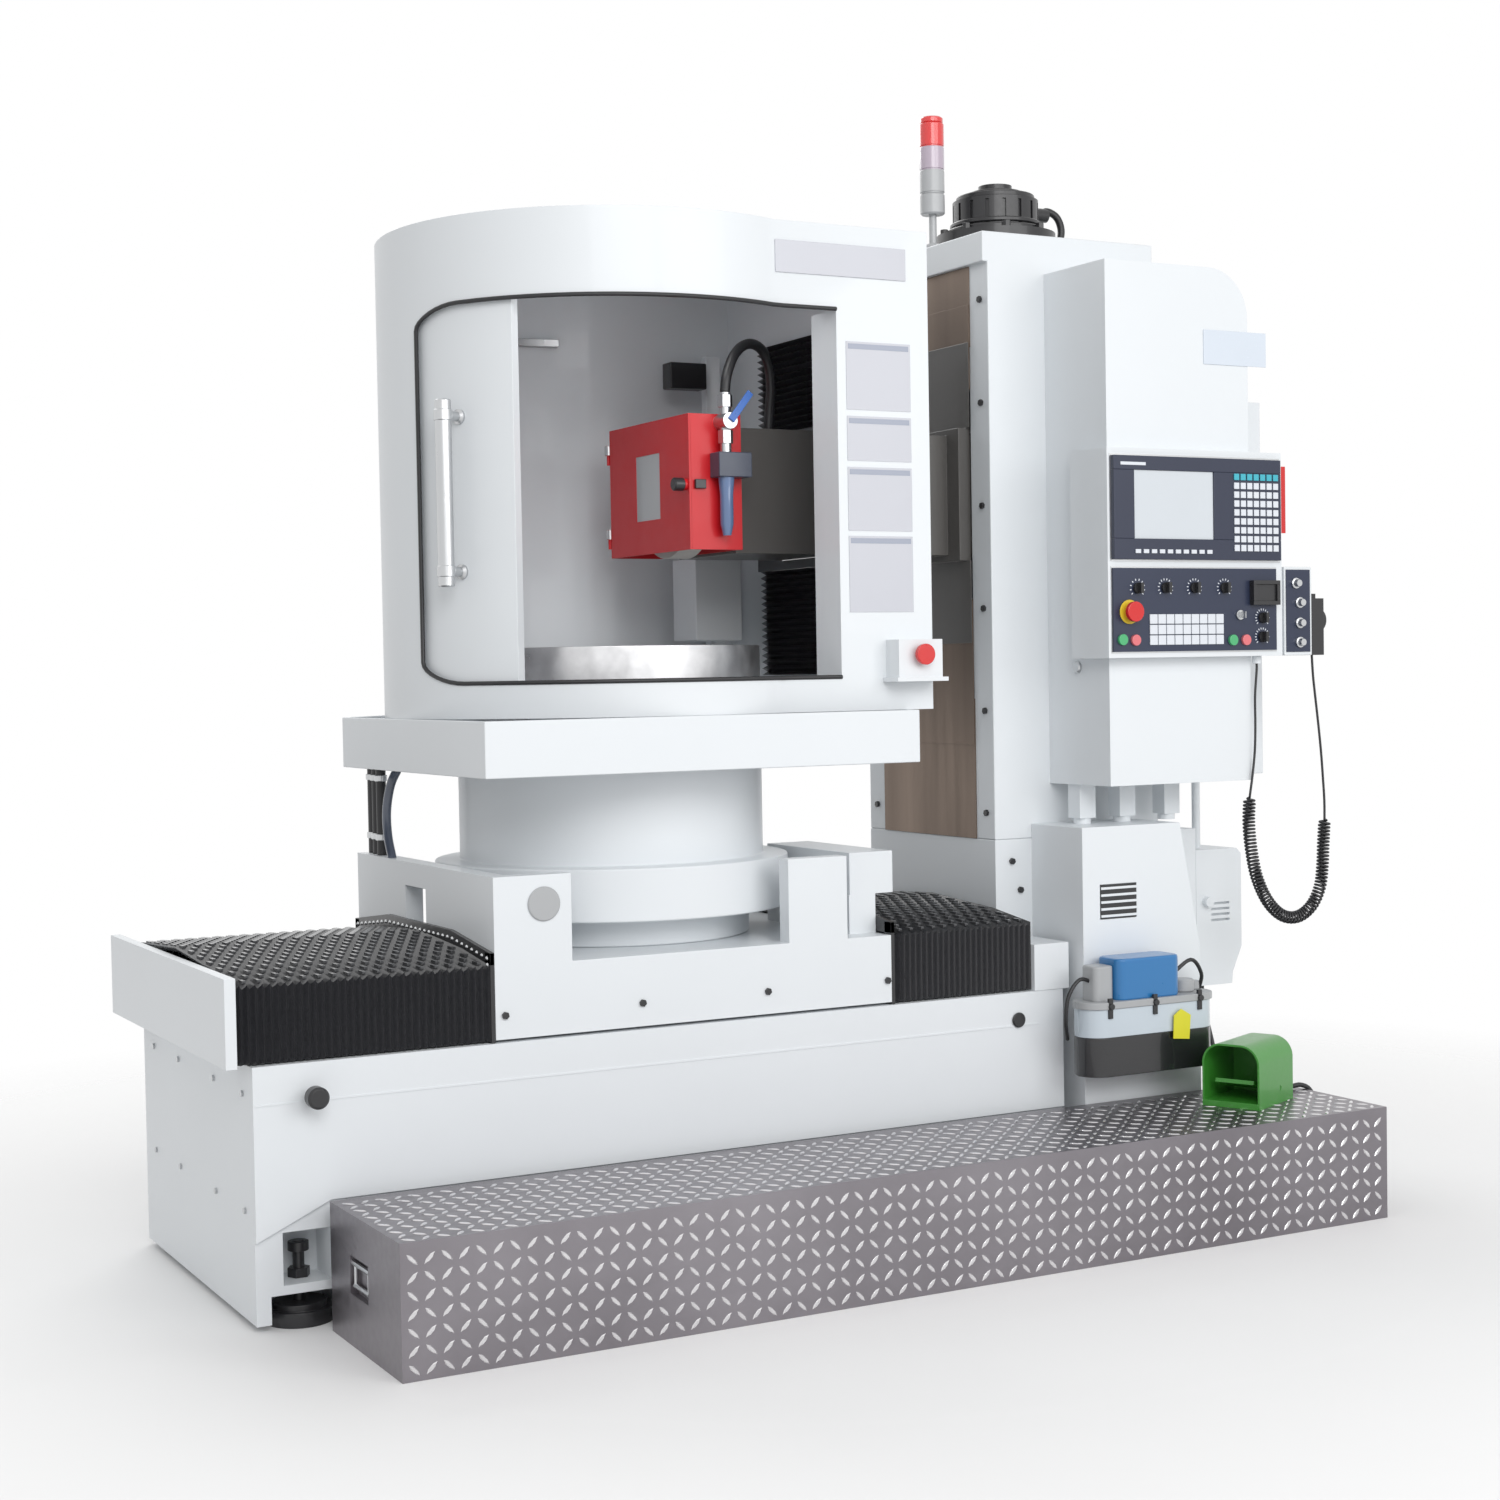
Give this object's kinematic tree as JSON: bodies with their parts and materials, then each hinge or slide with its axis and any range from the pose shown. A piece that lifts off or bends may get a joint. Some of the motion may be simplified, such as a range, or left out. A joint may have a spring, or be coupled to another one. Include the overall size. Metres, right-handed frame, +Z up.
{
  "type": "rotary table surface grinder",
  "caption": "Surface grinder with a hooded round magnetic table on a slideway bed, a column with a horizontal wheel spindle, a control panel, step and foot pedal.",
  "frame": {"origin": "on the floor under the middle of the front left levelling pad", "axes": "+X along the bed to the column, +Y from the operator's side to the back, +Z up"},
  "size_m": [2.4403, 1.214, 2.2663],
  "materials": {
    "white_paint": "satin",
    "black_steel": "satin",
    "ground_steel": "ground",
    "fold_fabric": "satin",
    "black_paint": "satin",
    "cover_steel": "oiled",
    "panel_plastic": "matte",
    "tower_plastic": "gloss",
    "lubricator_plastic": "gloss",
    "step_plate": "worn",
    "pedal_green": "satin",
    "black_cable": "satin",
    "black_plastic": "matte",
    "chuck_steel": "ground",
    "head_paint": "satin",
    "guard_red": "satin",
    "fitting_chrome": "bright",
    "seal_paint": "satin",
    "wheel_grit": "rough",
    "stop_red": "gloss",
    "lever_blue": "satin",
    "button_green": "gloss",
    "button_red": "gloss"
  },
  "bodies": {
    "machine": {"bed": "white_paint", "end_covers": "white_paint", "column_base": "white_paint", "column": "white_paint", "cabinet": "white_paint", "rear_cabinet": "white_paint", "panel_housing": "white_paint", "side_box": "white_paint", "junction_box": "white_paint", "levelling_pads": "black_steel", "guide_rails": "ground_steel", "bellows_left": "fold_fabric", "bellows_right": "fold_fabric", "z_motor": "black_paint", "fixed_way_covers": "cover_steel", "panel_units": "panel_plastic", "signal_tower": "tower_plastic", "lubricator": "lubricator_plastic", "step_box": "step_plate", "pedal_hood": "pedal_green", "pendant_cord": "black_cable", "pedal_cord": "black_cable", "pendant": "black_plastic"},
    "saddle_unit": {"saddle": "white_paint", "rotary_base": "white_paint", "tray": "white_paint", "hood": "white_paint", "door_rails": "ground_steel", "head_bellows": "fold_fabric", "hood_estop_box": "white_paint", "drain_hoses": "black_cable"},
    "table": {"chuck": "chuck_steel", "table_spindle": "ground_steel"},
    "door": {"door": "white_paint"},
    "head": {"wheelhead": "head_paint", "wheel_guard": "guard_red", "coolant_manifold": "fitting_chrome"},
    "seal": {"head_seal": "seal_paint"},
    "cover": {"way_cover_middle": "cover_steel"},
    "spindle": {"wheel_spindle": "ground_steel", "grinding_wheel": "wheel_grit"},
    "guard_door": {"guard_door": "guard_red"},
    "valve_lever": {"valve_lever": "lever_blue"},
    "panel_estop": {"panel_estop": "stop_red"},
    "hood_estop": {"hood_estop": "stop_red"},
    "main_switch": {"main_switch": "stop_red"},
    "pendant_dial": {"pendant_dial": "black_plastic"},
    "pedal_plate": {"pedal_plate": "pedal_green"},
    "step_handle": {"step_handle": "fitting_chrome"},
    "key_switch": {"key_switch": "fitting_chrome"},
    "selector_1": {"selector_1": "black_plastic"},
    "selector_2": {"selector_2": "black_plastic"},
    "selector_3": {"selector_3": "black_plastic"},
    "selector_4": {"selector_4": "black_plastic"},
    "selector_5": {"selector_5": "black_plastic"},
    "selector_6": {"selector_6": "black_plastic"},
    "button_1": {"button_1": "button_green"},
    "button_2": {"button_2": "button_red"},
    "button_3": {"button_3": "button_green"},
    "button_4": {"button_4": "button_red"}
  },
  "joints": [
    {"name": "x_slide", "type": "slide", "parent": "machine", "child": "saddle_unit", "axis": [1, 0, 0], "range_m": [-0.12, 0.16], "deforming": ["bellows_left", "bellows_right"]},
    {"name": "table_spin", "type": "hinge", "parent": "saddle_unit", "child": "table", "pos_m": [0.76, 0.33, 0.921], "axis": [0, 0, 1], "continuous": true},
    {"name": "door_slide", "type": "hinge", "parent": "saddle_unit", "child": "door", "pos_m": [0.76, 0.33, 1.021], "axis": [0, 0, 1], "range_deg": [-8, 90]},
    {"name": "z_slide", "type": "slide", "parent": "machine", "child": "head", "axis": [0, 0, 1], "range_m": [-0.16, 0.15]},
    {"name": "seal_slide", "type": "slide", "parent": "saddle_unit", "child": "seal", "axis": [0, 0, 1], "range_m": [-0.16, 0.15], "deforming": ["head_bellows"]},
    {"name": "cover_slide", "type": "slide", "parent": "machine", "child": "cover", "axis": [0, 0, 1], "range_m": [-0.08, 0.075]},
    {"name": "wheel_spin", "type": "hinge", "parent": "head", "child": "spindle", "pos_m": [0.892, 0.33, 1.455], "axis": [1, 0, 0], "continuous": true},
    {"name": "guard_door_hinge", "type": "hinge", "parent": "head", "child": "guard_door", "pos_m": [0.856, 0.517, 1.337], "axis": [0, 0, 1], "range_deg": [-100, 0]},
    {"name": "valve_turn", "type": "hinge", "parent": "head", "child": "valve_lever", "pos_m": [0.9262, 0.108, 1.583], "axis": [0, 1, 0], "range_deg": [0, 90]},
    {"name": "panel_estop_push", "type": "slide", "parent": "machine", "child": "panel_estop", "axis": [0, 1, 0], "range_m": [0, 0.006], "stiffness_N_per_m": 600},
    {"name": "hood_estop_push", "type": "slide", "parent": "saddle_unit", "child": "hood_estop", "axis": [0, 1, 0], "range_m": [0, 0.006], "stiffness_N_per_m": 600},
    {"name": "main_switch_turn", "type": "hinge", "parent": "machine", "child": "main_switch", "pos_m": [2.26, 0.105, 1.456], "axis": [1, 0, 0], "range_deg": [-90, 0]},
    {"name": "pendant_dial_turn", "type": "hinge", "parent": "machine", "child": "pendant_dial", "pos_m": [2.182, -0.121, 1.18616], "axis": [1, 0, 0], "continuous": true},
    {"name": "pedal_press", "type": "hinge", "parent": "machine", "child": "pedal_plate", "pos_m": [1.90125, -0.24038, 0.25], "axis": [-0.4226, 0.9063, 0], "range_deg": [-12, 0], "stiffness_Nm_per_rad": 12},
    {"name": "step_handle_swing", "type": "hinge", "parent": "machine", "child": "step_handle", "pos_m": [0.033, -0.24048, 0.1368], "axis": [0, 1, 0], "range_deg": [0, 90]},
    {"name": "selector_1_turn", "type": "hinge", "parent": "machine", "child": "selector_1", "pos_m": [1.69, -0.161, 1.251], "axis": [0, 1, 0], "range_deg": [-45, 45]},
    {"name": "selector_2_turn", "type": "hinge", "parent": "machine", "child": "selector_2", "pos_m": [1.76, -0.161, 1.252], "axis": [0, 1, 0], "range_deg": [-45, 45]},
    {"name": "selector_3_turn", "type": "hinge", "parent": "machine", "child": "selector_3", "pos_m": [1.833, -0.161, 1.252], "axis": [0, 1, 0], "range_deg": [-45, 45]},
    {"name": "selector_4_turn", "type": "hinge", "parent": "machine", "child": "selector_4", "pos_m": [1.91, -0.161, 1.252], "axis": [0, 1, 0], "range_deg": [-45, 45]},
    {"name": "selector_5_turn", "type": "hinge", "parent": "machine", "child": "selector_5", "pos_m": [2.009, -0.161, 1.191], "axis": [0, 1, 0], "range_deg": [-135, 135]},
    {"name": "selector_6_turn", "type": "hinge", "parent": "machine", "child": "selector_6", "pos_m": [2.008, -0.161, 1.152], "axis": [0, 1, 0], "range_deg": [-135, 135]},
    {"name": "key_turn", "type": "hinge", "parent": "machine", "child": "key_switch", "pos_m": [1.949, -0.161, 1.197], "axis": [0, 1, 0], "range_deg": [0, 90]},
    {"name": "button_1_push", "type": "slide", "parent": "machine", "child": "button_1", "axis": [0, 1, 0], "range_m": [0, 0.004], "stiffness_N_per_m": 600},
    {"name": "button_2_push", "type": "slide", "parent": "machine", "child": "button_2", "axis": [0, 1, 0], "range_m": [0, 0.004], "stiffness_N_per_m": 600},
    {"name": "button_3_push", "type": "slide", "parent": "machine", "child": "button_3", "axis": [0, 1, 0], "range_m": [0, 0.004], "stiffness_N_per_m": 600},
    {"name": "button_4_push", "type": "slide", "parent": "machine", "child": "button_4", "axis": [0, 1, 0], "range_m": [0, 0.004], "stiffness_N_per_m": 600}
  ],
  "couplings": [
    {"joint": "seal_slide", "follows": "z_slide", "ratio": 1},
    {"joint": "cover_slide", "follows": "z_slide", "ratio": 0.5}
  ]
}
